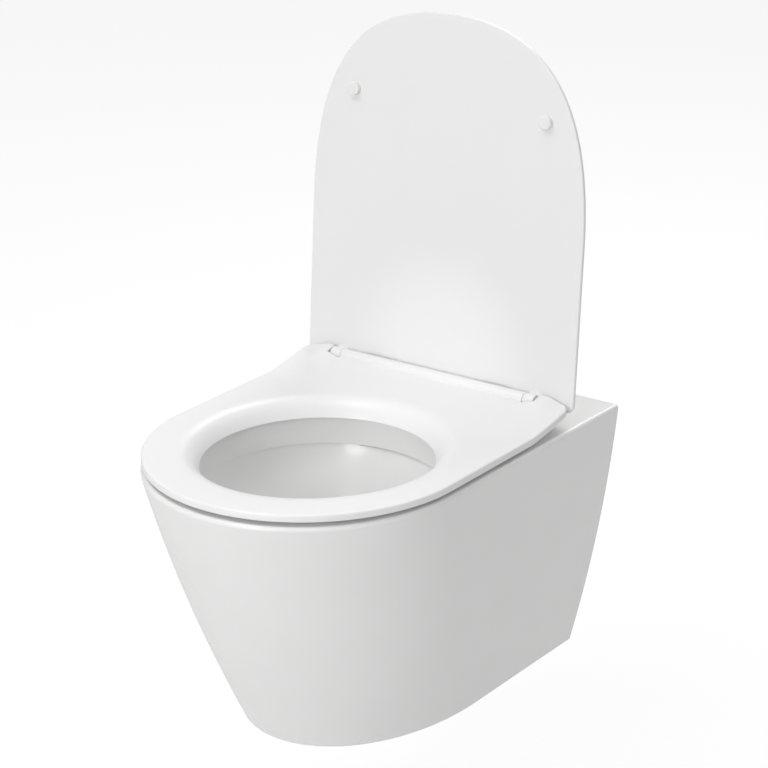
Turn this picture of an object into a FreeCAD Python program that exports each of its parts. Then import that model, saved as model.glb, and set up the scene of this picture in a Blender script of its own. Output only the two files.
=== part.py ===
import FreeCAD, Part
import math
import os

# Wall hung toilet, in millimetres. The origin is midway between the two wall bolts, on the wall.
# +X is to the right for a person who faces the toilet, +Y goes into the wall, +Z is up.
# The seat is down and the lid stands open, leaning back on its stop.

V = FreeCAD.Vector

# ---- driving dimensions ----
pan_top = 80.0              # rim and deck above the wall bolts
pan_bottom = -220.0
half_top = 180.0            # half width of the deck at the wall
half_top_front = 175.5      # half width where the straight sides end
half_bottom = 124.5
front_top = -505.0
front_bottom = -384.0
straight_top = -320.0       # where the straight sides end and the round front starts
straight_bottom = -193.0
foot_full = 0.577           # how squarely the body turns at the bottom; 0.55 is an ellipse
side_taper = 0.53           # share of the taper in proportion to height, at the wall; the rest is its square
front_taper = 0.72          # and towards the front
body_levels = 7             # sections of the body between bottom and top
pan_edge = 4.0              # rounding of the rim's outer edge
wall = 12.0                 # ceramic thickness
deck_thickness = 15.0
rear_plate = 16.0

bowl_half = 130.0           # the bowl under the rim: half width, back, front
bowl_back = -172.0
bowl_front = -466.0
bowl_full = 0.6             # how squarely the bowl turns at the back
bowl_edge = 5.0             # rounding of the rim's inner edge
foot_edge = 3.0             # rounding of the body's lower edge
ledge_z = 40.0              # lower edge of the rimless wall, where the flush water comes out
ledge_back = 4.0            # how far the bowl steps back under that edge, at the back
ledge_side = 0.8            # and at the sides and the front
slot_half = 44.0            # gap for the flush water at the back of the bowl
slot_high = 2.0
slot_from, slot_to = -180.0, -155.0
bowl_wall = 10.0
bowl_levels = [             # below the ledge: height, half width, back, front
    (15.0, 123.0, -180.0, -454.0),
    (-20.0, 100.0, -198.0, -424.0),
    (-60.0, 80.0, -214.0, -396.0),
    (-100.0, 59.0, -236.0, -372.0),
    (-150.0, 42.0, -260.0, -352.0),
]
sump_z = -188.0
sump_half = 30.0
sump_back = -278.0
sump_front = -336.0

trap_radius = 27.0
trap_wall = 9.0
trap_path = [(-305, -160), (-245, -160), (-172, -62), (-120, -98), (-60, -100)]
outlet_z = -100.0
outlet_bore = 42.0
outlet_outer = 51.0
outlet_end = -4.0           # the spigot stops just inside the wall plane
outlet_recess = 66.0        # room for the drain socket around the spigot
recess_depth = 62.0

inlet_z = 35.0
inlet_radius = 27.5
inlet_depth = 62.0
inlet_channel = 17.0
channel_from, channel_to = -156.0, -98.0    # the flat room where the flush water spreads
channel_low, channel_high = -9.0, 10.0      # from the middle of the inlet
pipe_radius = 22.5          # flush pipe, inside its seal
seal_long = 40.0

stud_spacing = 180.0
stud_hole = 10.0            # hole in the ceramic
stud_bore = 6.3             # clear hole for a 12 mm stud
seat_spacing = 155.0        # between the two seat fixing holes
seat_hole = 7.5
window_in, window_out = 72.0, 128.0         # the open parts of the back
window_low, window_high = -120.0, -26.0
window_corner = 10.0

axis_y = -98.6              # hinge line
axis_z = 104.3
barrel_radius = 7.6
barrel_half = 120.6
pocket_radius = 6.4         # in the seat, around the carrier's eye
eye_radius = 5.9
damper_radius = 4.4
pin_radius = 2.5
running_gap = 0.06
notch_end = 137.0
notch_gap = 1.4             # in front of the lid's ears
pocket_half = 15.8          # half width of the room for a hinge carrier
pocket_room = [(27.0, 29.0), (60.0, 29.0), (60.0, -40.0), (-20.0, -40.0), (-20.0, -8.4), (-7.6, -8.4)]

seat_half = 174.8
seat_front = -502.0
seat_straight = -320.0
seat_back = -91.8
seat_corner = 11.0
seat_low = 93.5             # top of the ring
seat_high = 105.5           # top at its back edge
seat_rise_start = -215.0
seat_bulge = 4.5            # lifts the second bend of that rise
seat_thick = 9.5
seat_round = 3.0
hole_half = 117.0           # the seat's opening, at its lower edge
hole_back = -183.0
hole_front = -440.0
hole_full = 0.65            # how squarely the opening turns at the back
lip_bottom = 75.0           # the ring's inner edge reaches down into the bowl
lip_slope = [(0.0, 75.6), (2.5, 81.0), (6.5, 86.4), (13.0, 90.9), (20.0, 92.8), (27.0, 93.4)]
lip_flare = [(40.0, 98.5), (60.0, 107.5)]
lip_outside = [(2.5, lip_bottom), (6.0, 80.0), (16.0, 84.5)]
seat_buffer_x = (150.0, 100.0)              # rear and front pairs
seat_buffer_y = (-240.0, -438.0)
pad_half_x, pad_half_y = 7.0, 11.0

lid_gap = 9.0               # inner face to hinge line
lid_thick = 5.5
lid_low = -4.3              # lower edge, measured along the lid from the hinge line
lid_long = 400.7
lid_half = 177.0
lid_half_low = 174.0
lid_straight = 172.0
lid_full = 0.64             # how squarely the lid turns into its round end
lid_corner = 14.0
lid_tilt = 3.7              # degrees past upright when open
lid_edge = 1.8
ear_in = 121.0
ear_out = 134.6
ear_low, ear_high = -4.0, 5.0
ear_end = 1.6               # wall at the outer end of an ear
bush_radius = 4.5

buffer_x = 123.5
buffer_s = 302.7
buffer_radius = 7.5
buffer_high = 6.0
peg_radius = 2.5
peg_long = 3.0

post_y = -101.0             # seat fixing holes and all that stands on them
post_radius = 4.0
post_top = 93.0
carrier_gap = 0.1
carrier_half = 14.8
foot_half = 15.0
foot_front, foot_back = -117.5, -86.0
foot_bottom = 83.2
foot_top = 95.0
stem_half = 3.9
plate_thick = 2.2
gasket_thick = 0.6
button_travel = 1.5
button_half = 7.0
button_front, button_back = -110.0, -87.0
button_low, button_high = 87.4, 90.2
button_room = 0.2           # above, below and beside the button
spring_turns = 3
spring_long, spring_radius, spring_wire = 3.6, 1.0, 0.25
spring_y, spring_z = -113.8, 88.8

ellipse = 4.0 / 3.0 * (math.sqrt(2.0) - 1.0)    # handle of a quarter of an ellipse


def vec(y, z, x=0.0):
    return V(x, y, z)


def box(x0, x1, y0, y1, z0, z1):
    return Part.makeBox(x1 - x0, y1 - y0, z1 - z0, V(x0, y0, z0))


def rod_x(radius, x0, x1, y, z):
    return Part.makeCylinder(radius, x1 - x0, V(x0, y, z), V(1, 0, 0))


def rod_y(radius, y0, y1, x, z):
    return Part.makeCylinder(radius, y1 - y0, V(x, y0, z), V(0, 1, 0))


def rod_z(radius, z0, z1, x, y):
    return Part.makeCylinder(radius, z1 - z0, V(x, y, z0), V(0, 0, 1))


def tube_z(outer, inner, z0, z1, x, y):
    return rod_z(outer, z0, z1, x, y).cut(rod_z(inner, z0 - 1, z1 + 1, x, y))


def tube_y(outer, inner, y0, y1, x, z):
    return rod_y(outer, y0, y1, x, z).cut(rod_y(inner, y0 - 1, y1 + 1, x, z))


def pair(make):
    """The same piece on the left and on the right, as one group of two solids."""
    return Part.Compound([make(-1), make(1)])


def bezier(*points):
    curve = Part.BezierCurve()
    curve.setPoles(list(points))
    return curve.toShape()


def line(a, b):
    return Part.makeLine(a, b)



def quarter(a, b, corner, full=ellipse):
    """A quarter of an ellipse from a to b, whose end tangents meet at corner; more full is squarer."""
    return bezier(a, a + (corner - a) * full, b + (corner - b) * full, b)


def d_outline(z, back, straight, front, half_back, half_front, full):
    """A flat back, straight sides and a round front, at height z."""
    rear_right, rear_left = V(half_back, back, z), V(-half_back, back, z)
    right, left = V(half_front, straight, z), V(-half_front, straight, z)
    tip = V(0, front, z)
    return Part.Wire([
        line(rear_left, rear_right),
        line(rear_right, right),
        quarter(right, tip, V(half_front, front, z), full),
        quarter(tip, left, V(-half_front, front, z), full),
        line(left, rear_left),
    ])


def oval(z, half, back, front, full=ellipse):
    """A closed oval with its widest place midway between back and front; full is for its back."""
    middle = (back + front) / 2.0
    right, left = V(half, middle, z), V(-half, middle, z)
    rear, tip = V(0, back, z), V(0, front, z)
    return Part.Wire([
        quarter(right, rear, V(half, back, z), full),
        quarter(rear, left, V(-half, back, z), full),
        quarter(left, tip, V(-half, front, z)),
        quarter(tip, right, V(half, front, z)),
    ])


def loft(wires):
    return Part.makeLoft(wires, True, False)


def prism(wire, vector):
    return Part.Face(wire).extrude(vector)


def eased(t, end, straight_part):
    """Grows from 0 to end over t, with straight_part of it in proportion and the rest as the square."""
    return end * (straight_part * t + (1.0 - straight_part) * t * t)


# ---- ceramic pan ----
def body_section(t, inset=0.0, back=0.0):
    """The body's outline; t runs from 0 at the top to 1 at the bottom."""
    height = pan_top + t * (pan_bottom - pan_top)
    narrow = eased(t, half_top - half_bottom, side_taper)
    narrow_front = eased(t, half_top_front - half_bottom, front_taper)
    front = front_top + eased(t, front_bottom - front_top, front_taper)
    straight = straight_top + eased(t, straight_bottom - straight_top, front_taper)
    return d_outline(height, back, straight, front + inset,
                     half_top - narrow - inset, half_top_front - narrow_front - inset,
                     ellipse + t * (foot_full - ellipse))


def body_outer():
    """The outside of the body, run a little into the wall and cut flat there."""
    steps = [i / (body_levels - 1.0) for i in range(body_levels)]
    shape = loft([body_section(t, 0.0, wall) for t in steps])
    shape = shape.cut(box(-2 * half_top, 2 * half_top, 0.0, 2 * wall, 2 * pan_bottom, 2 * pan_top))
    shape = shape.makeFillet(pan_edge, level_edges(shape, pan_top))
    return shape.makeFillet(foot_edge, level_edges(shape, pan_bottom))


def body_hollow():
    high = deck_thickness / (pan_top - pan_bottom)
    low = 1.0 - wall / (pan_top - pan_bottom)
    steps = [high + (low - high) * i / 4.0 for i in range(5)]
    return loft([body_section(t, wall, -rear_plate) for t in steps])


def bowl(grow):
    """The space inside the bowl, or with grow the outside of its wall."""
    upper = prism(oval(ledge_z, bowl_half + grow, bowl_back + grow, bowl_front - grow, bowl_full),
                  V(0, 0, pan_top + bowl_edge - ledge_z))
    ledge = (ledge_z, bowl_half + ledge_side, bowl_back + ledge_back, bowl_front - ledge_side)
    sump = (sump_z - grow, sump_half, sump_back, sump_front)
    lower = loft([oval(z, half + grow, back + grow, front - grow, bowl_full)
                  for z, half, back, front in [ledge] + bowl_levels + [sump]])
    return upper.fuse(lower)


def path_tube(points, radius):
    """Round tube along straight runs, with a ball at each turn."""
    shape = None
    for start, end in zip(points, points[1:]):
        a, b = vec(*start), vec(*end)
        run = Part.makeCylinder(radius, (b - a).Length, a, b - a)
        ball = Part.makeSphere(radius, b)
        shape = run.fuse(ball) if shape is None else shape.fuse([run, ball])
    return shape


def pan():
    outer = body_outer()
    outlet_outside = rod_y(outlet_outer, -80.0, outlet_end, 0, outlet_z)
    kept = [
        bowl(bowl_wall),
        path_tube(trap_path, trap_radius + trap_wall),
        rod_y(outlet_recess + wall, -recess_depth - 6.0, -rear_plate, 0, outlet_z),
        rod_y(inlet_radius + bowl_wall, -inlet_depth - 8.0, -1.0, 0, inlet_z),
        rod_y(inlet_channel + bowl_wall, bowl_back, -inlet_depth, 0, inlet_z),
    ]
    hollow = body_hollow().cut(kept[0].fuse(kept[1:]))
    shape = outer.cut(hollow)
    recess = tube_y(outlet_recess, outlet_outer, -recess_depth, 5.0, 0, outlet_z)
    cuts = [
        bowl(0.0),
        path_tube(trap_path, trap_radius),
        rod_y(outlet_bore, -72.0, 5.0, 0, outlet_z),
        recess,
        box(-outlet_outer - 1, outlet_outer + 1, outlet_end, 5.0,
            outlet_z - outlet_outer - 1, outlet_z + outlet_outer + 1),
        rod_y(inlet_radius, -inlet_depth, 5.0, 0, inlet_z),
        rod_y(inlet_channel, -100.0, -inlet_depth + 1.0, 0, inlet_z),
        box(-slot_half, slot_half, channel_from, channel_to, inlet_z + channel_low, inlet_z + channel_high),
        box(-slot_half, slot_half, slot_from, slot_to, ledge_z - slot_high, ledge_z - 0.2),
    ]
    for side in (-1, 1):
        cuts.append(rod_y(stud_hole, -rear_plate - 1, 5.0, side * stud_spacing / 2, 0))
        cuts.append(rod_z(seat_hole, pan_top - deck_thickness - 1, pan_top + 1,
                          side * seat_spacing / 2, post_y))
        cuts.append(rear_window(side))
    shape = shape.cut(cuts[0].fuse(cuts[1:]))
    spigot = outlet_outside.cut(rod_y(outlet_bore, -90.0, 5.0, 0, outlet_z))
    spigot = spigot.cut(path_tube(trap_path, trap_radius))
    shape = biggest(shape.fuse(spigot))
    return shape.makeFillet(bowl_edge, [e for e in level_edges(shape, pan_top) if in_bowl(e)])


def level_edges(shape, z):
    """The edges that lie at height z, without one on the wall."""
    found = []
    for edge in shape.Edges:
        b = edge.BoundBox
        if abs(b.ZMin - z) < 0.01 and abs(b.ZMax - z) < 0.01 and b.YMin < -1.0:
            found.append(edge)
    return found


def in_bowl(edge):
    b = edge.BoundBox
    return b.YMax < bowl_back + 0.1 and b.YMin > bowl_front - 0.1 and max(b.XMax, -b.XMin) < bowl_half + 0.1


def rear_window(side):
    """The open part of the back, through which the nuts are reached."""
    x0, x1 = sorted((side * window_in, side * window_out))
    window = box(x0, x1, -rear_plate - 1.0, 5.0, window_low, window_high)
    return window.makeFillet(window_corner, [e for e in window.Edges if along_y(e)])


def along_y(edge):
    b = edge.BoundBox
    return b.YLength > 1.0 and b.XLength < 0.01 and b.ZLength < 0.01


def biggest(shape):
    return max(shape.Solids, key=lambda s: s.Volume)


# ---- seat ----
def seat_profile():
    """The ring seen from the side: level, then curving up to its back edge."""
    far = seat_front - 20.0
    third = (seat_back - seat_rise_start) / 3.0
    low, top = vec(seat_rise_start, seat_low), vec(seat_back, seat_high)
    bends = [vec(seat_rise_start + third, seat_low), vec(seat_back - third, seat_low + seat_bulge)]
    drop = V(0, 0, -seat_thick)
    return Part.Wire([
        line(vec(far, seat_low), low),
        bezier(low, bends[0], bends[1], top),
        line(top, top + drop),
        bezier(top + drop, bends[1] + drop, bends[0] + drop, low + drop),
        line(low + drop, vec(far, seat_low - seat_thick)),
        line(vec(far, seat_low - seat_thick), vec(far, seat_low)),
    ])


def seat_plan(z):
    """The ring's outline with rounded corners at the hinge."""
    r = seat_corner
    side, back, front, mid = seat_half, seat_back, seat_front, seat_straight
    a, b = V(side - r, back, z), V(side, back - r, z)
    c, tip = V(side, mid, z), V(0, front, z)
    return Part.Wire([
        line(V(r - side, back, z), a),
        quarter(a, b, V(side, back, z)),
        line(b, c),
        quarter(c, tip, V(side, front, z)),
        quarter(tip, V(-side, mid, z), V(-side, front, z)),
        line(V(-side, mid, z), V(-side, back - r, z)),
        quarter(V(-side, back - r, z), V(r - side, back, z), V(-side, back, z)),
    ])


def seat_hole_oval(z, grow):
    return oval(z, hole_half + grow, hole_back + grow, hole_front - grow, hole_full)


def hinge_pocket(side):
    """Room in the seat for the carrier's eye, stem and foot, at every angle of the seat."""
    x0, x1 = side * seat_spacing / 2 - pocket_half, side * seat_spacing / 2 + pocket_half
    eye = rod_x(pocket_radius, x0, x1, axis_y, axis_z)
    centre = V(x0, axis_y, axis_z)
    points = [centre] + [centre + V(0, y, z) for y, z in pocket_room] + [centre]
    return eye.fuse(prism(Part.makePolygon(points), V(x1 - x0, 0, 0)))


def seat_ring():
    slab = Part.Face(seat_profile()).extrude(V(400, 0, 0))
    slab.translate(V(-200, 0, 0))
    plate = slab.common(prism(seat_plan(60.0), V(0, 0, 80.0)))
    rim = [e for e in plate.Edges if outer_top(e)]
    plate = plate.makeFillet(seat_round, rim)
    plate = plate.fuse(loft([seat_hole_oval(z, g) for g, z in lip_outside]))
    dish = loft([seat_hole_oval(z, g) for g, z in lip_slope + lip_flare])
    below = prism(seat_hole_oval(60.0, 0.0), V(0, 0, lip_slope[0][1] + 0.3 - 60.0))
    plate = plate.cut(dish.fuse(below))
    notches = [box(min(s * barrel_half, s * notch_end), max(s * barrel_half, s * notch_end),
                   axis_y - barrel_radius - notch_gap, -60.0, 60.0, 130.0) for s in (-1, 1)]
    plate = plate.cut(notches[0].fuse(notches[1]))
    barrel = rod_x(barrel_radius, -barrel_half, barrel_half, axis_y, axis_z)
    shape = plate.fuse(barrel)
    holes = [hinge_pocket(-1), hinge_pocket(1)]
    for side in (-1, 1):
        x0, x1 = sorted((side * 51.0, side * 125.0))
        radius = pin_radius if side < 0 else pin_radius + running_gap
        holes.append(rod_x(radius, x0, x1, axis_y, axis_z))
    for x, y in seat_buffer_places():
        holes.append(rod_z(peg_radius, 60.0, seat_low - seat_thick + peg_long, x, y))
    return biggest(shape.cut(holes[0].fuse(holes[1:])))


def outer_top(edge):
    """An edge of the ring's upper outline, without the straight one along the hinge."""
    b = edge.BoundBox
    middle = edge.valueAt((edge.FirstParameter + edge.LastParameter) / 2)
    on_side = abs(abs(middle.x) - seat_half) < 0.5 or middle.y < seat_straight - 1.0
    return on_side and b.ZMax > seat_low - 0.1 and middle.z > seat_low - 0.1 and b.ZLength < 20.0


def seat_buffer_places():
    return [(side * x, y) for x, y in zip(seat_buffer_x, seat_buffer_y) for side in (-1, 1)]


def seat_buffer(x, y):
    top = seat_low - seat_thick
    pad = box(x - pad_half_x, x + pad_half_x, y - pad_half_y, y + pad_half_y, pan_top + 0.1, top)
    pad = pad.makeFillet(4.0, [e for e in pad.Edges if e.BoundBox.ZLength > 2.0])
    return pad.fuse(rod_z(peg_radius, pan_top + 1.0, top + peg_long, x, y))


# ---- lid, drawn upright and then leaned back ----
def lean(shape):
    moved = shape.copy()
    moved.rotate(V(0, axis_y, axis_z), V(1, 0, 0), -lid_tilt)
    return moved


def lid_outline(y):
    r = lid_corner
    low, mid, top = axis_z + lid_low, axis_z + lid_straight, axis_z + lid_long
    half, foot = lid_half, lid_half_low
    points = [V(foot - r, y, low), V(foot, y, low + r), V(half, y, mid), V(0, y, top),
              V(-half, y, mid), V(-foot, y, low + r), V(r - foot, y, low)]
    return Part.Wire([
        quarter(points[0], points[1], V(foot, y, low)),
        line(points[1], points[2]),
        quarter(points[2], points[3], V(half, y, top), lid_full),
        quarter(points[3], points[4], V(-half, y, top), lid_full),
        line(points[4], points[5]),
        quarter(points[5], points[6], V(-foot, y, low)),
        line(points[6], points[0]),
    ])


def lid():
    face = axis_y + lid_gap
    plate = prism(lid_outline(face), V(0, lid_thick, 0))
    plate = plate.makeFillet(lid_edge, [e for e in plate.Edges if e.BoundBox.YLength < 0.01])
    ears = []
    for side in (-1, 1):
        x0, x1 = sorted((side * ear_in, side * ear_out))
        ear = rod_x(barrel_radius, x0, x1, axis_y, axis_z)
        arm = box(x0, x1, axis_y, face + lid_thick / 2, axis_z + ear_low, axis_z + ear_high)
        ears.append(ear.fuse(arm))
    shape = plate.fuse(ears)
    cuts = []
    for side in (-1, 1):
        x0, x1 = sorted((side * (ear_in - 1), side * (ear_out - ear_end)))
        cuts.append(rod_x(bush_radius, x0, x1, axis_y, axis_z))
        cuts.append(rod_y(peg_radius, face - 1.0, face + peg_long, side * buffer_x, axis_z + buffer_s))
    return lean(biggest(shape.cut(cuts[0].fuse(cuts[1:]))))


def lid_buffer(side):
    face = axis_y + lid_gap
    x, z = side * buffer_x, axis_z + buffer_s
    pad = rod_y(buffer_radius, face - buffer_high, face, x, z)
    pad = pad.makeFillet(1.6, [e for e in pad.Edges if e.BoundBox.YMax < face - 1.0 and e.Closed])
    return lean(pad.fuse(rod_y(peg_radius, face - 1.0, face + peg_long, x, z)))


def ear_bush(side):
    x0, x1 = sorted((side * ear_in, side * (ear_out - ear_end)))
    radius = pin_radius + running_gap if side < 0 else pin_radius
    bush = rod_x(bush_radius, x0, x1, axis_y, axis_z).cut(rod_x(radius, x0 - 1, x1 + 1, axis_y, axis_z))
    return lean(bush)


# ---- hinge ----
def at_side(side, shape):
    """A hinge piece drawn about x = 0, moved to its fixing hole."""
    shape.translate(V(side * seat_spacing / 2, 0, 0))
    return shape


def hinge_carrier(side):
    foot = box(-foot_half, foot_half, foot_front, foot_back, foot_bottom, foot_top)
    foot = foot.makeFillet(2.5, [e for e in foot.Edges if e.BoundBox.ZLength > 5.0])
    stem = box(-carrier_half, carrier_half, axis_y - stem_half, axis_y + stem_half, foot_top - 1.0, axis_z)
    eye = rod_x(eye_radius, -carrier_half, carrier_half, axis_y, axis_z)
    shape = foot.fuse([stem, eye])
    cuts = [
        rod_x(damper_radius, -16.0, 16.0, axis_y, axis_z),
        rod_z(post_radius + carrier_gap, foot_bottom - 1.0, post_top + 1.0, 0, post_y),
        box(-button_half - button_room, button_half + button_room, button_front - 4.0, foot_back + 1.0,
            button_low - button_room, button_high + button_room),
        box(-6.8, 6.8, button_back - 3.3, foot_back + 1.0, button_low - 1.3, button_high + 1.9),
    ]
    return at_side(side, shape.cut(cuts[0].fuse(cuts[1:])))


def release_button(side):
    slot_back = post_y + post_radius + button_travel + 0.1
    slot_front = post_y - post_radius - 0.1
    r = post_radius + 0.15
    plate = box(-button_half, button_half, button_front, button_back, button_low, button_high)
    plate = plate.makeFillet(1.5, [e for e in plate.Edges if e.BoundBox.ZLength > 2.0])
    hole = box(-r, r, slot_front + r, slot_back - r, 80.0, 95.0)
    hole = hole.fuse([rod_z(r, 80.0, 95.0, 0, slot_front + r), rod_z(r, 80.0, 95.0, 0, slot_back - r)])
    face = button_back + 3.5
    head = box(-6.5, 6.5, button_back - 1.5, face, button_low - 1.0, button_high + 1.6)
    head = head.makeFillet(1.0, [e for e in head.Edges if e.BoundBox.YMin > face - 0.1])
    return at_side(side, plate.cut(hole).fuse(head))


def latch_spring(side):
    """A small coil between the button's plate and the front of its slot."""
    helix = Part.makeHelix(spring_long / spring_turns, spring_long, spring_radius)
    start = helix.Edges[0].valueAt(helix.Edges[0].FirstParameter)
    tangent = helix.Edges[0].tangentAt(helix.Edges[0].FirstParameter)
    ring = Part.Wire([Part.makeCircle(spring_wire, start, tangent)])
    coil = Part.Wire(helix).makePipeShell([ring], True, True)
    coil.rotate(V(0, 0, 0), V(1, 0, 0), -90.0)
    coil.translate(V(0, spring_y, spring_z))
    return at_side(side, coil)


def damper_body(side):
    body = rod_x(damper_radius, 0.2 - carrier_half, carrier_half - 0.2, axis_y, axis_z)
    return at_side(side, body.cut(rod_x(pin_radius + running_gap, -16, 16, axis_y, axis_z)))


def damper_shaft(side):
    x0, x1 = sorted((side * 52.0, side * (ear_out - 2.0)))
    shaft = rod_x(pin_radius, x0, x1, axis_y, axis_z)
    return shaft if side < 0 else lean(shaft)


def base_plate(side):
    z = pan_top + gasket_thick
    return at_side(side, tube_z(19.0, post_radius, z, z + plate_thick, 0, post_y))


def base_gasket(side):
    return at_side(side, tube_z(19.0, seat_hole, pan_top, pan_top + gasket_thick, 0, post_y))


def hinge_post(side):
    tip = Part.makeCone(post_radius, post_radius - 1.0, 1.0, V(0, post_y, post_top - 1.0))
    return at_side(side, rod_z(post_radius, 22.0, post_top - 1.0, 0, post_y).fuse(tip))


def post_bush(side):
    sleeve = tube_z(seat_hole - 0.05, post_radius, pan_top - deck_thickness, pan_top, 0, post_y)
    flange = tube_z(13.0, post_radius, 62.0, pan_top - deck_thickness, 0, post_y)
    return at_side(side, sleeve.fuse(flange))


def post_washer(side):
    return at_side(side, tube_z(12.0, post_radius, 60.0, 62.0, 0, post_y))


def wing_nut(side):
    nut = tube_z(8.0, post_radius, 46.0, 60.0, 0, post_y)
    wings = box(-17.0, 17.0, post_y - 1.6, post_y + 1.6, 44.0, 57.0)
    wings = wings.makeFillet(3.0, [e for e in wings.Edges if along_y(e)])
    bore = rod_z(post_radius, 40.0, 62.0, 0, post_y)
    return at_side(side, nut.fuse(wings).cut(bore))


# ---- fixings at the wall and pieces in the water way ----
def stud_sleeve(side):
    x = side * stud_spacing / 2
    sleeve = tube_y(stud_hole, stud_bore, -rear_plate, 0, x, 0)
    return sleeve.fuse(tube_y(15.0, stud_bore, -rear_plate - 3.0, -rear_plate, x, 0))


def stud_washer(side):
    return tube_y(14.0, stud_bore, -rear_plate - 5.5, -rear_plate - 3.0, side * stud_spacing / 2, 0)


def stud_nut(side):
    x, back, long = side * stud_spacing / 2, -rear_plate - 5.5, 10.0
    corners = [V(x + 11.0 * math.cos(math.radians(60 * i)), back - long, 11.0 * math.sin(math.radians(60 * i)))
               for i in range(7)]
    return prism(Part.makePolygon(corners), V(0, long, 0)).cut(rod_y(stud_bore, back - 20, 0, x, 0))


def inlet_seal():
    return tube_y(inlet_radius, pipe_radius, -seal_long, 0.0, 0, inlet_z)


def flow_divider():
    """A wedge in the channel that turns the water to both sides of the bowl."""
    points = [V(-30.0, -154.0, 0), V(30.0, -154.0, 0), V(7.0, -128.0, 0), V(0, -122.0, 0),
              V(-7.0, -128.0, 0), V(-30.0, -154.0, 0)]
    wedge = prism(Part.makePolygon(points), V(0, 0, 18.8))
    wedge.translate(V(0, 0, inlet_z - 8.9))
    return wedge


def make_all():
    nodes = {
        "pan": pan(),
        "seat_ring": seat_ring(),
        "lid": lid(),
        "seat_post_bushes": pair(post_bush),
        "seat_post_washers": pair(post_washer),
        "seat_wing_nuts": pair(wing_nut),
        "stud_sleeves": pair(stud_sleeve),
        "stud_washers": pair(stud_washer),
        "stud_nuts": pair(stud_nut),
        "inlet_seal": inlet_seal(),
        "flow_divider": flow_divider(),
    }
    makers = {
        "lid_buffer": lid_buffer,
        "ear_bush": ear_bush,
        "hinge_carrier": hinge_carrier,
        "release_button": release_button,
        "latch_spring": latch_spring,
        "damper_body": damper_body,
        "damper_shaft": damper_shaft,
        "base_plate": base_plate,
        "base_gasket": base_gasket,
        "hinge_post": hinge_post,
    }
    for name, make in makers.items():
        for side, word in ((-1, "left"), (1, "right")):
            nodes[name + "_" + word] = make(side)
    words = ("rear_left", "rear_right", "front_left", "front_right")
    for word, (x, y) in zip(words, seat_buffer_places()):
        nodes["seat_buffer_" + word] = seat_buffer(x, y)
    return nodes


os.makedirs("parts", exist_ok=True)
for node, shape in make_all().items():
    shape.exportStep("parts/" + node + ".step")
    print(node, len(shape.Solids), round(shape.Volume / 1000.0, 2), "cm3", shape.isValid())
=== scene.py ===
from math import radians

import bmesh
import bpy
import numpy as np
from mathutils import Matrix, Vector


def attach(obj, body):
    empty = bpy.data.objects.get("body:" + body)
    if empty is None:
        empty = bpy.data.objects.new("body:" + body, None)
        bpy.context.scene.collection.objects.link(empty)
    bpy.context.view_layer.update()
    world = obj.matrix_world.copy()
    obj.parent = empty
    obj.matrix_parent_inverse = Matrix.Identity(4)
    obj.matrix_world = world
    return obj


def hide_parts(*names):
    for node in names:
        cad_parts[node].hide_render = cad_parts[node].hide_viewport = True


# Wall hung toilet with its seat down and its lid open, +Y into the wall and +Z up.
# The dictionaries hinge, seat and lid hold millimetres; lengths in the others are metres, where
# no note says otherwise.
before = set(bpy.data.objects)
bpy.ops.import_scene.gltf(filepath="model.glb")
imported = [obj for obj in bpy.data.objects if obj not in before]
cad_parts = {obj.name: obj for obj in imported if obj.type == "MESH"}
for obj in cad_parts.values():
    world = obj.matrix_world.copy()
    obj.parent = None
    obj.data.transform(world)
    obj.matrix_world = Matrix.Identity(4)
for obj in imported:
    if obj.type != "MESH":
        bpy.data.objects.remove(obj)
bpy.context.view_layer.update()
print("frame loaded:", len(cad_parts), "nodes")

mm = 0.001  # one millimetre in metres
sharpFrom = 35.0  # degrees between two faces, past which their edge is drawn sharp
ellipse = 0.5523  # handle of a quarter of an ellipse; more is squarer
generatedPlace, objectPlace = 0, 3  # outputs of the Texture Coordinate node

hinge = {"y": -98.6, "z": 104.3, "barrelRadius": 7.6, "barrelHalf": 120.6}


# A node socket that takes arithmetic: each operation adds one Math node.
class Socket:
    def __init__(self, shader, socket):
        self.shader = shader
        self.socket = socket

    def math(self, operation, first, second):
        return self.shader.node("ShaderNodeMath", {"operation": operation}, {0: first, 1: second})

    def __add__(self, other):
        return self.math("ADD", self, other)

    def __radd__(self, other):
        return self.math("ADD", other, self)

    def __sub__(self, other):
        return self.math("SUBTRACT", self, other)

    def __rsub__(self, other):
        return self.math("SUBTRACT", other, self)

    def __mul__(self, other):
        return self.math("MULTIPLY", self, other)

    def __rmul__(self, other):
        return self.math("MULTIPLY", other, self)


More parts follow.
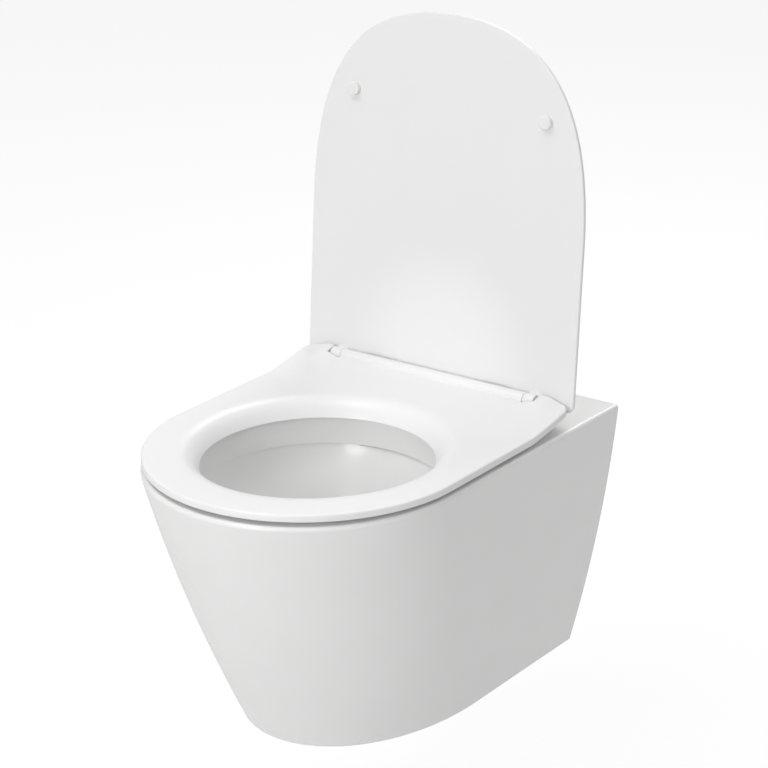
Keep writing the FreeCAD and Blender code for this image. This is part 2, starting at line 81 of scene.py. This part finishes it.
# A fresh node tree, with one method that adds any node.
class Shader:
    def __init__(self, owner):
        owner.use_nodes = True
        self.tree = owner.node_tree
        self.tree.nodes.clear()

    def node(self, kind, settings=None, values=None, output=0):
        # Settings come first, then each socket's link or value, by the socket's name or number.
        made = self.tree.nodes.new(kind)
        for name, value in (settings or {}).items():
            setattr(made, name, value)
        for name, value in (values or {}).items():
            if isinstance(value, Socket):
                self.tree.links.new(value.socket, made.inputs[name])
            else:
                made.inputs[name].default_value = value
        return Socket(self, made.outputs[output] if made.outputs else None)

    def place(self, axis, source=objectPlace):
        # One coordinate of the point that is shaded: 0 for X, 1 for Y, 2 for Z.
        at = self.node("ShaderNodeTexCoord", output=source)
        return self.node("ShaderNodeSeparateXYZ", None, {0: at}, output=axis)

    def noise(self, scale, detail=3.0, stretch=(1.0, 1.0, 1.0)):
        # Noise on the piece's own coordinates; along an axis it is finer by its stretch.
        at = self.node("ShaderNodeTexCoord", output=objectPlace)
        at = self.node("ShaderNodeMapping", None, {"Vector": at, "Scale": stretch})
        return self.node("ShaderNodeTexNoise", None, {"Vector": at, "Scale": scale, "Detail": detail})

    def band(self, value, low, high):
        # Smooth step from 0 at low to 1 at high.
        return self.node("ShaderNodeMapRange", {"interpolation_type": "SMOOTHSTEP"},
                         {0: value, 1: low, 2: high, 3: 0.0, 4: 1.0})

    def mix(self, factor, first, second):
        # Two colours, plain or from a node; inputs 6 and 7 and output 2 are the node's colours.
        first, second = [c if isinstance(c, Socket) else (*c, 1.0) for c in (first, second)]
        return self.node("ShaderNodeMix", {"data_type": "RGBA"}, {0: factor, 6: first, 7: second}, output=2)

    def bump(self, height, depth):
        return self.node("ShaderNodeBump", None, {"Height": height, "Distance": depth, "Strength": 1.0})


finishes = {
    "glazed_ceramic": {"colour": (0.865, 0.865, 0.861), "rough": 0.24, "wave": 0.00005},
    "seat_plastic": {"colour": (0.87, 0.87, 0.87), "rough": 0.32, "wave": 0.000002},
    "white_plastic": {"colour": (0.78, 0.78, 0.77), "rough": 0.42, "wave": 0.000006},
    "buffer_plastic": {"colour": (0.85, 0.85, 0.84), "rough": 0.55, "wave": 0.000006},
    "grey_plastic": {"colour": (0.17, 0.18, 0.19), "rough": 0.45, "wave": 0.00005},
    "black_rubber": {"colour": (0.02, 0.02, 0.021), "rough": 0.70, "wave": 0.00006},
    "stainless_steel": {"colour": (0.55, 0.55, 0.54), "rough": 0.28, "wave": 0.00002},
}


def dimmed(colour, share):
    return tuple(share * c for c in colour)


glaze = {
    "broad": (9.0, 2.0), "fine": (140.0, 4.0), "ground": (900.0, 6.0),  # scale and detail of the noise
    "pool": (0.3, 0.7), "poolTone": 0.985, "broadGloss": 0.05, "fineGloss": 0.03, "finePeel": 0.12,
    "ior": 1.52, "bareY": (-0.0012, -0.0002), "bareColour": (0.66, 0.64, 0.60), "bareTone": 0.8,
    "bareRough": 0.85,
}


def glazed(shader, finish):
    # A glaze that pools a little: broad waves, fine orange peel and faint tone changes.
    # The face that stands on the wall is ground flat and left without glaze.
    broad = shader.noise(*glaze["broad"])
    fine = shader.noise(*glaze["fine"])
    bare = shader.band(shader.place(1), *glaze["bareY"])
    pooled = shader.band(broad, *glaze["pool"])
    colour = shader.mix(pooled, dimmed(finish["colour"], glaze["poolTone"]), finish["colour"])
    ground = shader.noise(*glaze["ground"])
    grain = shader.mix(ground, dimmed(glaze["bareColour"], glaze["bareTone"]), glaze["bareColour"])
    rough = finish["rough"] + glaze["broadGloss"] * (broad - 0.5) + glaze["fineGloss"] * (fine - 0.5)
    return {
        "Base Color": shader.mix(bare, colour, grain),
        "Roughness": rough * (1.0 - bare) + glaze["bareRough"] * bare,
        "IOR": glaze["ior"],
        "Normal": shader.bump(broad + glaze["finePeel"] * fine, finish["wave"]),
    }


moulding = {
    "flow": (6.0, 2.0, (1.0, 0.35, 1.0)), "grain": (420.0, 5.0),  # scale, detail and stretch of the noise
    "flowTone": 0.98, "flowGloss": 0.04, "grainGloss": 0.06, "ior": 1.5,
}


def moulded(shader, finish):
    # Moulded plastic or rubber: fine grain in the height, faint flow marks in the tone, both in the gloss.
    flow = shader.noise(*moulding["flow"])
    grain = shader.noise(*moulding["grain"])
    rough = finish["rough"] + moulding["flowGloss"] * (flow - 0.5) + moulding["grainGloss"] * (grain - 0.5)
    return {
        "Base Color": shader.mix(flow, dimmed(finish["colour"], moulding["flowTone"]), finish["colour"]),
        "Roughness": rough,
        "IOR": moulding["ior"],
        "Normal": shader.bump(grain, finish["wave"]),
    }


turning = {"lines": (60.0, 6.0, (1.0, 1.0, 18.0)), "lineTone": 0.85, "lineGloss": 0.16}


def turned(shader, finish):
    # Steel with fine level lines, as on a turned upright post, in the tone, the gloss and the height.
    lines = shader.noise(*turning["lines"])
    return {
        "Base Color": shader.mix(lines, dimmed(finish["colour"], turning["lineTone"]), finish["colour"]),
        "Roughness": finish["rough"] + turning["lineGloss"] * (lines - 0.5),
        "Metallic": 1.0,
        "Normal": shader.bump(lines, finish["wave"]),
    }


makers = {"glazed_ceramic": glazed, "stainless_steel": turned}


def makeMaterial(slot, finish):
    material = bpy.data.materials.new(slot + "_finish")
    shader = Shader(material)
    maker = makers.get(slot, moulded)
    surface = shader.node("ShaderNodeBsdfPrincipled", None, maker(shader, finish))
    shader.node("ShaderNodeOutputMaterial", None, {"Surface": surface})
    return material


materials = {slot: makeMaterial(slot, finish) for slot, finish in finishes.items()}
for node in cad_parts.values():
    for place in node.material_slots:
        place.material = materials[place.material.name.split(".")[0]]
print("materials:", len(materials))


def straight(a, b, count):
    # P(t) = a + t (b - a), t in [0, 1)
    t = np.linspace(0.0, 1.0, count, endpoint=False)[:, None]
    return np.array(a) + t * (np.array(b) - np.array(a))


def quarter(a, b, corner, full, count):
    # Cubic Bezier from a to b: P(t) = (1-t)^3 a + 3t(1-t)^2 p + 3t^2(1-t) q + t^3 b,
    # with p and q on the way from each end to the corner by the share full.
    a, b, corner = np.array(a), np.array(b), np.array(corner)
    t = np.linspace(0.0, 1.0, count, endpoint=False)[:, None]
    p, q = a + (corner - a) * full, b + (corner - b) * full
    return (1 - t) ** 3 * a + 3 * t * (1 - t) ** 2 * p + 3 * t ** 2 * (1 - t) * q + t ** 3 * b


def rightAngle(count):
    # Angles from 0 to a right angle, both included.
    return np.linspace(0.0, np.pi / 2, count)


def eased(value, low, high):
    # Smooth step: 3t^2 - 2t^3 with t from 0 at low to 1 at high.
    t = np.clip((value - low) / (high - low), 0.0, 1.0)
    return 3 * t ** 2 - 2 * t ** 3


def inset(outline, amount):
    # P - amount n, with n the outward normal of a closed curve that runs anticlockwise.
    along = np.roll(outline, -1, 0) - np.roll(outline, 1, 0)
    along /= np.linalg.norm(along, axis=1)[:, None]
    return outline - amount * np.stack([along[:, 1], -along[:, 0]], 1)


def anglesFrom(centre, curve):
    # Each point's angle about the centre, from the X axis.
    rel = curve - centre
    return np.arctan2(rel[:, 1], rel[:, 0])


def seenFrom(centre, outline, curve):
    # centre + r (cos a, sin a), with a the angle of each point of outline about the centre
    # and r how far curve is from the centre at that angle.
    angles, around = anglesFrom(centre, outline), anglesFrom(centre, curve)
    order = np.argsort(around)
    far = np.linalg.norm(curve - centre, axis=1)
    reach = np.interp(angles, around[order], far[order], period=2 * np.pi)
    return centre + reach[:, None] * np.stack([np.cos(angles), np.sin(angles)], 1)


def lifted(outline, height):
    # (x, y, height), with one height for all points or one for each.
    return np.column_stack([outline, np.broadcast_to(height, len(outline))])


def hingeCircle(radius, count=64):
    # y + r cos t, z + r sin t about the hinge line.
    t = np.linspace(0.0, 2 * np.pi, count, endpoint=False)
    return np.column_stack([hinge["y"] + radius * np.cos(t), hinge["z"] + radius * np.sin(t)])


def facedOut(mesh):
    # Turns all faces round where the volume that they enclose comes out below zero.
    shell = bmesh.new()
    shell.from_mesh(mesh)
    if shell.calc_volume(signed=True) < 0:
        bmesh.ops.reverse_faces(shell, faces=shell.faces)
    shell.to_mesh(mesh)
    shell.free()


def addObject(name, data):
    made = bpy.data.objects.new(name, data)
    bpy.context.scene.collection.objects.link(made)
    return made


def addMesh(name, rows, loop=False, caps=False):
    # A grid surface from rows of points; every row closes on itself. With loop the last row
    # meets the first, with caps one flat face closes each end.
    grid = np.stack(rows)
    count, size = grid.shape[:2]
    index = np.arange(count * size).reshape(count, size)
    if loop:
        index = np.vstack([index, index[:1]])
    a, b = index[:-1], index[1:]
    quads = np.stack([a, np.roll(a, -1, 1), np.roll(b, -1, 1), b], -1).reshape(-1, 4)
    points, faces = grid.reshape(-1, 3), quads.tolist()
    if caps:
        faces += [index[0][::-1].tolist(), index[-1].tolist()]
    mesh = bpy.data.meshes.new(name)
    mesh.from_pydata((points * mm).tolist(), [], faces)
    facedOut(mesh)
    return addObject(name, mesh)


def prismX(name, outline, x0, x1):
    # An outline in the plane of Y and Z, carried along X.
    rows = [np.column_stack([np.full(len(outline), x), outline]) for x in (x0, x1)]
    return addMesh(name, rows, caps=True)


def roundedBar(name, outline, x0, x1, edge, steps=5):
    # An outline in the plane of Y and Z, carried along X, with rounded ends:
    # at the angle a the outline is drawn in by edge (1 - sin a), edge (1 - cos a) from the end.
    rows = []
    for a in rightAngle(steps):
        small = inset(outline, edge * (1 - np.sin(a)))
        rows.append(np.column_stack([np.full(len(small), x0 + edge * (1 - np.cos(a))), small]))
    rows += [row * (-1, 1, 1) + (x0 + x1, 0, 0) for row in rows[::-1]]
    return addMesh(name, rows, caps=True)


def combined(piece, tools, operation):
    # Applies one boolean for each tool and removes the tools.
    for tool in tools:
        step = piece.modifiers.new("step", "BOOLEAN")
        step.operation, step.solver, step.object = operation, "EXACT", tool
        graph = bpy.context.evaluated_depsgraph_get()
        made = bpy.data.meshes.new_from_object(piece.evaluated_get(graph))
        piece.modifiers.clear()
        piece.data = made
        bpy.data.objects.remove(tool)


def finished(piece, body, slot, replaced):
    piece.data.shade_smooth()
    piece.data.set_sharp_from_angle(angle=radians(sharpFrom))
    piece.data.materials.clear()
    piece.data.materials.append(materials[slot])
    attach(piece, body)
    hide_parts(replaced)
    print("piece:", piece.name, len(piece.data.polygons), "faces")


seat = {
    "half": 174.8, "front": -502.0, "straight": -320.0, "back": -91.8, "corner": 13.0,
    "top": 93.5, "riseStart": -215.0, "rise": 13.4, "bulge": 5.0, "thick": 8.2,
    "edge": 1.9, "underEdge": 1.6,
    "shoulder": 5.0, "shoulderUp": (0.70, 0.90), "shoulderIn": (120.0, 138.0),
    "shoulderOut": (144.0, 166.0),
    "flankFrom": (168.0, -95.0), "flankTo": (85.0, -215.0), "flankSlope": 0.045,
    "flankSoft": 60.0, "flankGrow": 4.0,
    "holeHalf": 121.5, "holeBack": -183.0, "holeFront": -440.0, "holeFull": 0.56,
    "holeFrontFull": 0.53,
    "dish": 29.0, "dishPower": 3.3, "dishCrowd": 1.5, "dishRise": 0.6, "underStart": 17.0,
    "lipZ": 73.8,
    "lipInside": ((1.2, 0.0), (0.35, 0.15)),  # how far outside the opening, how far above lipZ
    "lipOutside": ((9.5, 9.2), (6.5, 6.2), (4.0, 2.7), (2.8, 0.15)),
    "backPoints": 90, "cornerPoints": 18, "sidePoints": 60, "frontPoints": 110, "holePoints": 200,
    "dishRows": 20, "topRows": 12, "edgeRows": 9, "underEdgeRows": 6, "underRows": 8,
    "barrelEdge": 0.7, "barrelPoints": 96,
    "notchEnd": 137.0, "notchGap": 1.4, "notchBack": -60.0, "notchLow": 60.0, "notchHigh": 130.0,
    "notchShift": 0.001,  # keeps the right notch out of the plane of the barrel's end
    "pocketAt": 77.5, "pocketHalf": 15.8, "pocketRadius": 6.4,
    "pocket": ((0.0, 0.0), (-7.6, -8.4), (-20.0, -8.4), (-20.0, -40.0),
               (60.0, -40.0), (60.0, 29.0), (27.0, 29.0)),  # y and z from the hinge line
    "pinFrom": 51.0, "pinTo": 121.5, "pinRadius": 2.6, "pinPoints": 32,
}
holeMiddle = (seat["holeBack"] + seat["holeFront"]) / 2


def seatOutline():
    # The straight rear edge, a rounded corner and a straight side, two quarter curves that meet
    # at the front, then the other side and corner.
    s, r = seat, seat["corner"]
    half, back, front, mid = s["half"], s["back"], s["front"], s["straight"]
    return np.vstack([
        straight((half - r, back), (r - half, back), s["backPoints"]),
        quarter((r - half, back), (-half, back - r), (-half, back), ellipse, s["cornerPoints"]),
        straight((-half, back - r), (-half, mid), s["sidePoints"]),
        quarter((-half, mid), (0.0, front), (-half, front), ellipse, s["frontPoints"]),
        quarter((0.0, front), (half, mid), (half, front), ellipse, s["frontPoints"]),
        straight((half, mid), (half, back - r), s["sidePoints"]),
        quarter((half, back - r), (half - r, back), (half, back), ellipse, s["cornerPoints"]),
    ])


def holeOutline(grow):
    # Four quarter curves round the opening, each end moved outwards by grow.
    half, back, front = seat["holeHalf"] + grow, seat["holeBack"] + grow, seat["holeFront"] - grow
    mid, full, low, count = holeMiddle, seat["holeFull"], seat["holeFrontFull"], seat["holePoints"]
    return np.vstack([
        quarter((half, mid), (0.0, back), (half, back), full, count),
        quarter((0.0, back), (-half, mid), (-half, back), full, count),
        quarter((-half, mid), (0.0, front), (-half, front), low, count),
        quarter((0.0, front), (half, mid), (half, front), low, count),
    ])


def seatHeight(outline):
    # z = top + max(up - fall, 0). From riseStart to back, u runs from 0 to 1 and
    # up = 3 u^2 (1-u) bulge + u^3 rise, and more by the shoulder beside each lid ear.
    # fall = flankSlope d min(1, flankGrow u), with d the distance outside the line from
    # flankFrom to flankTo, softened to (d + sqrt(d^2 + flankSoft)) / 2.
    s = seat
    u = np.clip((outline[:, 1] - s["riseStart"]) / (s["back"] - s["riseStart"]), 0.0, 1.0)
    up = 3 * u ** 2 * (1 - u) * s["bulge"] + u ** 3 * s["rise"]
    side = np.abs(outline[:, 0])
    shoulder = s["shoulder"] * eased(u, *s["shoulderUp"]) * eased(side, *s["shoulderIn"])
    up = up + shoulder * (1 - eased(side, *s["shoulderOut"]))
    a, b = np.array(s["flankFrom"]), np.array(s["flankTo"])
    along = (b - a) / np.linalg.norm(b - a)
    across = np.array([-along[1], along[0]])
    beyond = (np.column_stack([side, outline[:, 1]]) - a) @ across
    beyond = 0.5 * (beyond + np.sqrt(beyond ** 2 + s["flankSoft"]))
    fall = s["flankSlope"] * beyond * np.minimum(1.0, s["flankGrow"] * u)
    return s["top"] + np.maximum(up - fall, 0.0)


def seatRows():
    # One row for each line round the section: up the slope of the opening, over the top,
    # round the outer edge and back below to the lip. Along the slope, with share from 0 to 1,
    # z = low + (seatHeight - low) (1 - (1 - share)^dishPower).
    s, outer, centre = seat, seatOutline(), np.array([0.0, holeMiddle])
    rows = []

    def opening(grow):
        return seenFrom(centre, outer, holeOutline(grow))

    for grow, above in s["lipInside"]:
        rows.append(lifted(opening(grow), s["lipZ"] + above))
    low = s["lipZ"] + s["dishRise"]
    for share in np.linspace(0.0, 1.0, s["dishRows"]) ** s["dishCrowd"]:
        line = opening(share * s["dish"])
        rows.append(lifted(line, low + (seatHeight(line) - low) * (1 - (1 - share) ** s["dishPower"])))
    start, end = opening(s["dish"]), inset(outer, s["edge"])
    for share in np.linspace(0.0, 1.0, s["topRows"])[1:-1]:
        line = start + share * (end - start)
        rows.append(lifted(line, seatHeight(line)))
    for angle in rightAngle(s["edgeRows"]):
        line = inset(outer, s["edge"] * (1 - np.sin(angle)))
        rows.append(lifted(line, seatHeight(line) - s["edge"] * (1 - np.cos(angle))))
    for angle in rightAngle(s["underEdgeRows"]):
        line = inset(outer, s["underEdge"] * (1 - np.cos(angle)))
        rows.append(lifted(line, seatHeight(line) - s["thick"] + s["underEdge"] * (1 - np.sin(angle))))
    start, end = inset(outer, s["underEdge"]), opening(s["underStart"])
    for share in np.linspace(0.0, 1.0, s["underRows"])[1:]:
        line = start + share * (end - start)
        rows.append(lifted(line, seatHeight(line) - s["thick"]))
    for grow, above in s["lipOutside"]:
        rows.append(lifted(opening(grow), s["lipZ"] + above))
    return rows


def notchOutline():
    # The room of a lid ear: a block from just before the barrel to behind the ring.
    front = hinge["y"] - hinge["barrelRadius"] - seat["notchGap"]
    back, low, high = seat["notchBack"], seat["notchLow"], seat["notchHigh"]
    return np.array([(front, low), (back, low), (back, high), (front, high)])


def pocketOutline():
    # The carrier's room below the barrel: a sector from the front of its foot round to the back.
    return np.array(seat["pocket"]) + (hinge["y"], hinge["z"])


def makeSeat():
    # The ring with its barrel, then notches for the lid's ears, pockets and eyes for the
    # carriers, and bores for the pins on the hinge line.
    ring = addMesh("seat_ring_shell", seatRows(), loop=True)
    half = hinge["barrelHalf"]
    around = hingeCircle(hinge["barrelRadius"], seat["barrelPoints"])
    combined(ring, [roundedBar("barrel", around, -half, half, seat["barrelEdge"])], "UNION")
    cutters = []
    for side in (-1, 1):
        low, high = sorted((side * half, side * seat["notchEnd"]))
        cutters.append(prismX("notch", notchOutline(), low + seat["notchShift"], high))
        middle = side * seat["pocketAt"]
        low, high = middle - seat["pocketHalf"], middle + seat["pocketHalf"]
        cutters.append(prismX("pocket", pocketOutline(), low, high))
        cutters.append(prismX("eye", hingeCircle(seat["pocketRadius"]), low, high))
        low, high = sorted((side * seat["pinFrom"], side * seat["pinTo"]))
        cutters.append(prismX("pin", hingeCircle(seat["pinRadius"], seat["pinPoints"]), low, high))
    combined(ring, cutters, "DIFFERENCE")
    finished(ring, "seat", "seat_plastic", "seat_ring")


makeSeat()

lid = {
    "gap": 9.0, "thick": 5.5, "low": -8.0, "long": 400.7, "half": 176.0, "halfLow": 175.8,
    "straight": 176.0, "full": 0.68, "corner": 9.0, "tilt": 3.7, "edge": 1.8, "backEdge": 2.4,
    "middle": 190.0, "shares": (0.03, 0.25, 0.5, 0.75, 0.92), "edgeRows": 7,
    "footPoints": 60, "cornerPoints": 16, "sidePoints": 50, "topPoints": 120,
    "earIn": 121.0, "earOut": 134.6, "earLow": -4.0, "earHigh": 5.0, "earDeep": 2.5,
    "earEdge": 0.8, "earPoints": 60,
    "fillet": 3.0, "filletIn": 0.3, "filletBefore": 0.4, "filletPoints": 12,
    "bushRadius": 4.5, "bushEnd": 1.6, "boreBefore": 1.0,
}


def leaned(piece):
    # Turns the mesh about the hinge line by the tilt: y' = y cos + z sin, z' = z cos - y sin.
    points = np.empty(len(piece.data.vertices) * 3)
    piece.data.vertices.foreach_get("co", points)
    points = points.reshape(-1, 3)
    hingeY, hingeZ = hinge["y"] * mm, hinge["z"] * mm
    y, z = points[:, 1] - hingeY, points[:, 2] - hingeZ
    c, s = np.cos(radians(lid["tilt"])), np.sin(radians(lid["tilt"]))
    points[:, 1] = y * c + z * s + hingeY
    points[:, 2] = z * c - y * s + hingeZ
    piece.data.vertices.foreach_set("co", points.ravel())
    piece.data.update()


def lidOutline():
    # The straight foot, a small corner and a side that widens a little, two quarter curves that
    # meet at the top, then the other side and corner.
    v, r = lid, lid["corner"]
    half, foot, low, mid, top = v["half"], v["halfLow"], v["low"], v["straight"], v["long"]
    return np.vstack([
        straight((r - foot, low), (foot - r, low), v["footPoints"]),
        quarter((foot - r, low), (foot, low + r), (foot, low), ellipse, v["cornerPoints"]),
        straight((foot, low + r), (half, mid), v["sidePoints"]),
        quarter((half, mid), (0.0, top), (half, top), v["full"], v["topPoints"]),
        quarter((0.0, top), (-half, mid), (-half, top), v["full"], v["topPoints"]),
        straight((-half, mid), (-foot, low + r), v["sidePoints"]),
        quarter((-foot, low + r), (r - foot, low), (-foot, low), ellipse, v["cornerPoints"]),
    ])


def lidRows():
    # Rows round the outline, from the middle of the inner face over its edge to the middle of the
    # back; near a middle a row is the outline scaled towards the point about half way up.
    v = lid
    outline, centre = lidOutline(), np.array([0.0, v["middle"]])
    face, back, turn = v["gap"], v["gap"] + v["thick"], rightAngle(v["edgeRows"])
    sections = [(share, v["edge"], face) for share in v["shares"]]
    sections += [(1.0, v["edge"] * (1 - np.sin(a)), face + v["edge"] * (1 - np.cos(a))) for a in turn]
    sections += [(1.0, v["backEdge"] * (1 - np.cos(a)), back - v["backEdge"] * (1 - np.sin(a)))
                 for a in turn]
    sections += [(share, v["backEdge"], back) for share in v["shares"][::-1]]
    rows = []
    for share, drawnIn, depth in sections:
        line = centre + share * (inset(outline, drawnIn) - centre)
        rows.append(np.column_stack([line[:, 0], np.full(len(line), depth), line[:, 1]])
                    + (0.0, hinge["y"], hinge["z"]))
    return rows


def earOutline():
    # The knuckle's circle from its upper to its lower side, straight into the plate,
    # and back above on a hollow curve.
    v, r = lid, hinge["barrelRadius"]
    inside, low, high = v["gap"] + v["earDeep"], v["earLow"], v["earHigh"]
    t = np.linspace(np.arcsin(high / r), 2 * np.pi - np.arcsin(-low / r), v["earPoints"])
    knuckle = np.column_stack([r * np.cos(t), r * np.sin(t)])
    end = (v["gap"] + v["filletIn"], high + v["fillet"])
    corner = (v["gap"] - v["filletBefore"], high)
    hollow = quarter(end, knuckle[0], corner, ellipse, v["filletPoints"])
    return np.vstack([knuckle, [(inside, low), (inside, end[1])], hollow]) + (hinge["y"], hinge["z"])


def makeLid():
    # The plate with its two ears, and in each a bore for its bush, open towards the middle.
    plate = addMesh("lid_shell", lidRows(), caps=True)
    ears, bores = [], []
    for side in (-1, 1):
        low, high = sorted((side * lid["earIn"], side * lid["earOut"]))
        ears.append(roundedBar("ear", earOutline(), low, high, lid["earEdge"]))
        near, far = lid["earIn"] - lid["boreBefore"], lid["earOut"] - lid["bushEnd"]
        low, high = sorted((side * near, side * far))
        bores.append(prismX("bore", hingeCircle(lid["bushRadius"]), low, high))
    combined(plate, ears, "UNION")
    combined(plate, bores, "DIFFERENCE")
    leaned(plate)
    finished(plate, "lid", "seat_plastic", "lid")


makeLid()

ground = {"z": -0.42, "half": 6.0, "tones": (0.70, 0.72), "noise": 3.0, "seen": 0.98, "white": 0.75}


def makeFloor():
    # One flat square. The camera sees it mostly as plain white, with some paint left for the shadow.
    half = ground["half"]
    corners = np.array([(-half, -half), (half, -half), (half, half), (-half, half)])
    mesh = bpy.data.meshes.new("floor")
    mesh.from_pydata(lifted(corners, ground["z"]).tolist(), [], [(0, 1, 2, 3)])
    floor = addObject("floor", mesh)
    material = bpy.data.materials.new("floor_paint")
    shader = Shader(material)
    rays = shader.node("ShaderNodeLightPath")  # its first output is Is Camera Ray
    tone = shader.mix(shader.noise(ground["noise"]), *[(tone,) * 3 for tone in ground["tones"]])
    tone = shader.mix(rays, tone, (ground["seen"],) * 3)
    paint = shader.node("ShaderNodeBsdfDiffuse", None, {"Color": tone})
    white = shader.node("ShaderNodeEmission", None, {"Strength": 1.0})
    seen = shader.node("ShaderNodeMixShader", None, {0: rays * ground["white"], 1: paint, 2: white})
    shader.node("ShaderNodeOutputMaterial", None, {"Surface": seen})
    mesh.materials.append(material)


sky = {"side": 0.225, "top": 0.68}


def makeWorld():
    # Strength = side + top max(h, 0), with h the height of a direction from 0, level, to 1, straight up.
    # To the camera it is plain white.
    world = bpy.data.worlds.new("studio")
    bpy.context.scene.world = world
    shader = Shader(world)
    height = shader.place(2, generatedPlace)
    strength = sky["side"] + sky["top"] * height.math("MAXIMUM", height, 0.0)
    soft = shader.node("ShaderNodeBackground", None, {"Color": (1, 1, 1, 1), "Strength": strength})
    white = shader.node("ShaderNodeBackground", None, {"Color": (1, 1, 1, 1), "Strength": 1.0})
    rays = shader.node("ShaderNodeLightPath")
    seen = shader.node("ShaderNodeMixShader", None, {0: rays, 1: soft, 2: white})
    shader.node("ShaderNodeOutputWorld", None, {"Surface": seen})


def addLight(name, light, at, aim):
    # A light at one point, with its beam towards another.
    lamp = addObject(name, light)
    lamp.location = at
    lamp.rotation_euler = (Vector(aim) - Vector(at)).to_track_quat("-Z", "Y").to_euler()


lamps = {
    "key": {"at": (-0.5, -1.5, 2.7), "aim": (0.0, -0.25, 0.1), "size": 1.2, "power": 17.0},
    "front": {"at": (0.2, -3.1, 0.9), "aim": (0.0, -0.25, 0.1), "size": 1.2, "power": 26.0},
    "back": {"at": (-0.4, 1.7, 2.1), "aim": (0.0, -0.1, 0.1), "size": 1.8, "power": 27.0},
}


def addLamp(name, lamp):
    light = bpy.data.lights.new(name, "AREA")
    light.shape, light.size, light.energy = "DISK", lamp["size"], lamp["power"]
    addLight(name, light, lamp["at"], lamp["aim"])


glow = {"at": (0.35, -2.1, 0.33), "aim": (0.005, -0.09, 0.135), "angle": 7.0, "size": 0.02, "power": 18.0}


def addGlow():
    # A narrow soft beam, low from the front, on the foot of the open lid.
    light = bpy.data.lights.new("glow", "SPOT")
    light.energy, light.spot_size, light.spot_blend = glow["power"], radians(glow["angle"]), 1.0
    light.shadow_soft_size = glow["size"]
    addLight("glow", light, glow["at"], glow["aim"])


viewpoint = {
    "at": (1.606, -2.4588, 1.1685), "turn": (69.4, 0.0, 35.3),
    "sensor": 36.0,  # millimetres
    "focal": 2770.0, "width": 768.0,  # both in pixels of a picture 768 wide
}


def makeCamera():
    data = bpy.data.cameras.new("camera")
    data.sensor_width = viewpoint["sensor"]
    data.lens = viewpoint["focal"] / viewpoint["width"] * viewpoint["sensor"]
    camera = addObject("camera", data)
    camera.location = viewpoint["at"]
    camera.rotation_euler = [radians(angle) for angle in viewpoint["turn"]]
    bpy.context.scene.camera = camera


makeFloor()
makeWorld()
for name, lamp in lamps.items():
    addLamp(name, lamp)
addGlow()
makeCamera()
bpy.context.scene.view_settings.view_transform = "Standard"
print("stage, lamps and camera set")
